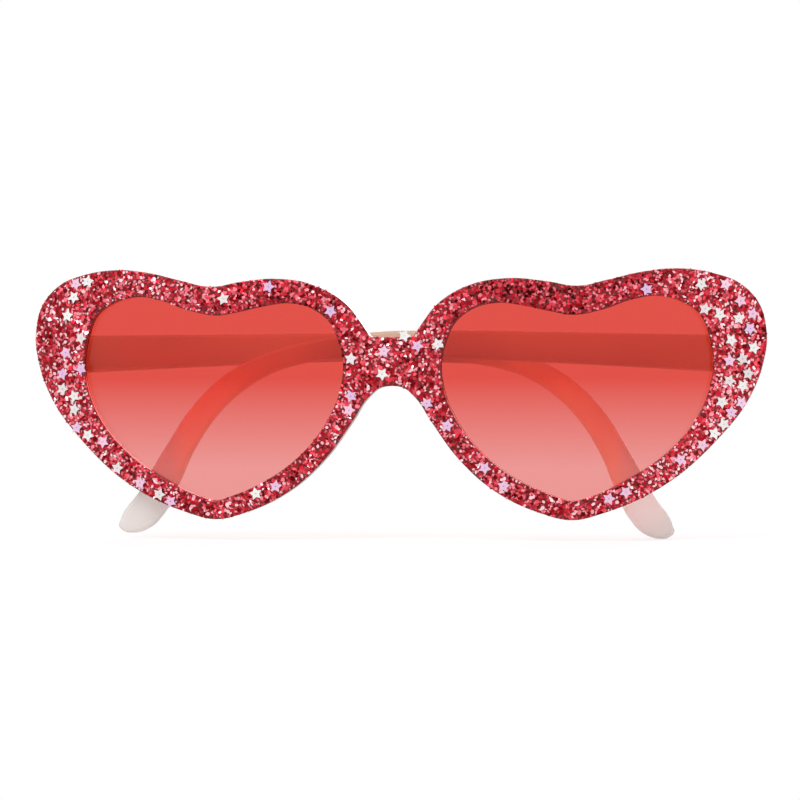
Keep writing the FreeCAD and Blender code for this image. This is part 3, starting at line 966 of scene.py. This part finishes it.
class SUNGLASSES_OT_hinges(Operator):
    """Finish the hinge halves and their screws"""
    bl_idname = "sunglasses.hinges"
    bl_label = "Hinges"

    def execute(self, context):
        """Puts the metals on the CAD nodes of both hinges."""
        settings = context.scene.sunglasses_metal
        plated = metal_material("Plated hinge", settings.hinge, "hinge")
        steel = metal_material("Bright steel", settings.screw, "screw")
        for side in ("left_", "right_"):
            for node in ("frame_hinge", "temple_hinge"):
                paint_node(side + node, plated)
            paint_node(side + "hinge_screw", steel)
        return {"FINISHED"}


def white_to_the_eye(tree):
    """A number that is 1 where the eye, a reflection or a lens looks at the stage itself."""
    path = tree.add("ShaderNodeLightPath")
    total = path.outputs["Is Camera Ray"]
    for kind in ("Is Glossy Ray", "Is Transmission Ray"):
        total = tree.work_out("MAXIMUM", total, path.outputs[kind])
    return total


def light_sky(world, strength):
    """White to the eye, dimmer as a light."""
    world.use_nodes = True
    tree = Tree(world.node_tree)
    light = tree.nodes["Background"]
    light.inputs["Color"].default_value = WHITE
    level = tree.remap(white_to_the_eye(tree), 0.0, 1.0, strength, 1.0)
    tree.link(level, light.inputs["Strength"])


def floor_material(settings):
    """White paper that keeps a faint shadow."""
    shader = Shader("White paper")
    shader.set(Base_Color=(*settings.paper, 1.0), Roughness=PAPER_ROUGHNESS)
    reach = shader.add("ShaderNodeVectorMath", operation="LENGTH")
    shader.link(shader.place(), reach.inputs[0])
    fade = shader.remap(reach.outputs["Value"], settings.shadow_reach, settings.shadow_end,
                        settings.glow, 1.0, "SMOOTHSTEP")
    glow = shader.add("ShaderNodeEmission")
    shader.mix_in(shader.work_out("MULTIPLY", white_to_the_eye(shader), fade), glow.outputs["Emission"])
    return shader.material


class SUNGLASSES_OT_stage(Operator):
    """Set up the white floor, the lamps and the camera"""
    bl_idname = "sunglasses.stage"
    bl_label = "Stage"

    def execute(self, context):
        """Builds the stage around the object."""
        settings = context.scene.sunglasses_stage
        lowest = CAD_BOX[0][2]
        bpy.ops.object.select_all(action="DESELECT")
        bpy.ops.mesh.primitive_plane_add(size=settings.floor_size, location=(0, 0, lowest))
        floor = bpy.context.object
        floor.name = "floor"
        bpy.ops.object.transform_apply(location=True, rotation=False, scale=False)
        paint_piece(floor, floor_material(settings))
        context.scene.world = bpy.data.worlds.new("White room")
        light_sky(context.scene.world, settings.sky)
        for name, place, side in LAMPS:
            self.lamp(name, place, side, getattr(settings, name + "_power"))
        self.camera(context, settings)
        context.scene.view_settings.view_transform = "Standard"
        return {"FINISHED"}

    @staticmethod
    def lamp(name, place, side, watts):
        """A soft square lamp that looks at the nose arch."""
        light = bpy.data.lights.new(name, "AREA")
        light.size = side
        light.energy = watts
        lamp = bpy.data.objects.new(name, light)
        lamp.location = place
        lamp.rotation_euler = Vector(place).to_track_quat("Z", "Y").to_euler()
        bpy.context.scene.collection.objects.link(lamp)

    @staticmethod
    def camera(context, settings):
        """The photograph's camera."""
        turn = settings.camera_turn
        right = Vector((math.cos(turn), math.sin(turn), 0))
        ahead = Vector((-math.sin(turn), math.cos(turn), 0))
        up = Vector((0, 0, 1))
        lens = bpy.data.cameras.new("camera")
        lens.lens = settings.focal_length
        lens.clip_start = settings.camera_distance * CLIP_SHARE
        camera = bpy.data.objects.new("camera", lens)
        camera.location = (right * settings.camera_aside + up * settings.camera_rise
                           - ahead * settings.camera_distance)
        camera.rotation_euler = (math.pi / 2, 0, turn)
        context.scene.collection.objects.link(camera)
        context.scene.camera = camera


STEPS = (SUNGLASSES_OT_moulded_front, SUNGLASSES_OT_star_sequins, SUNGLASSES_OT_glitter_flakes,
         SUNGLASSES_OT_tinted_lenses, SUNGLASSES_OT_side_arms, SUNGLASSES_OT_hinges, SUNGLASSES_OT_stage)


class SUNGLASSES_PT_panel(Panel):
    """The steps that dress the sunglasses"""
    bl_idname = "SUNGLASSES_PT_panel"
    bl_label = "Heart shaped sunglasses"
    bl_space_type = "VIEW_3D"
    bl_region_type = "UI"
    bl_category = "Sunglasses"

    def draw(self, context):
        """Lists the steps in order."""
        for step in STEPS:
            self.layout.operator(step.bl_idname)


SETTINGS = {
    "sunglasses_glitter": GlitterSettings, "sunglasses_stars": StarSettings,
    "sunglasses_lenses": LensSettings, "sunglasses_plastic": PlasticSettings,
    "sunglasses_metal": MetalSettings, "sunglasses_stage": StageSettings,
}


def register():
    """Registers the settings, steps and panel."""
    for name, group in SETTINGS.items():
        bpy.utils.register_class(group)
        setattr(bpy.types.Scene, name, PointerProperty(type=group))
    for step in (*STEPS, SUNGLASSES_PT_panel):
        bpy.utils.register_class(step)


def unregister():
    """Takes everything back."""
    for step in reversed((*STEPS, SUNGLASSES_PT_panel)):
        bpy.utils.unregister_class(step)
    for name, group in SETTINGS.items():
        delattr(bpy.types.Scene, name)
        bpy.utils.unregister_class(group)


def main():
    """Dresses the sunglasses."""
    register()
    bpy.ops.sunglasses.moulded_front()
    bpy.ops.sunglasses.star_sequins()
    bpy.ops.sunglasses.glitter_flakes()
    bpy.ops.sunglasses.tinted_lenses()
    bpy.ops.sunglasses.side_arms()
    bpy.ops.sunglasses.hinges()
    bpy.ops.sunglasses.stage()


if __name__ == "__main__":
    main()
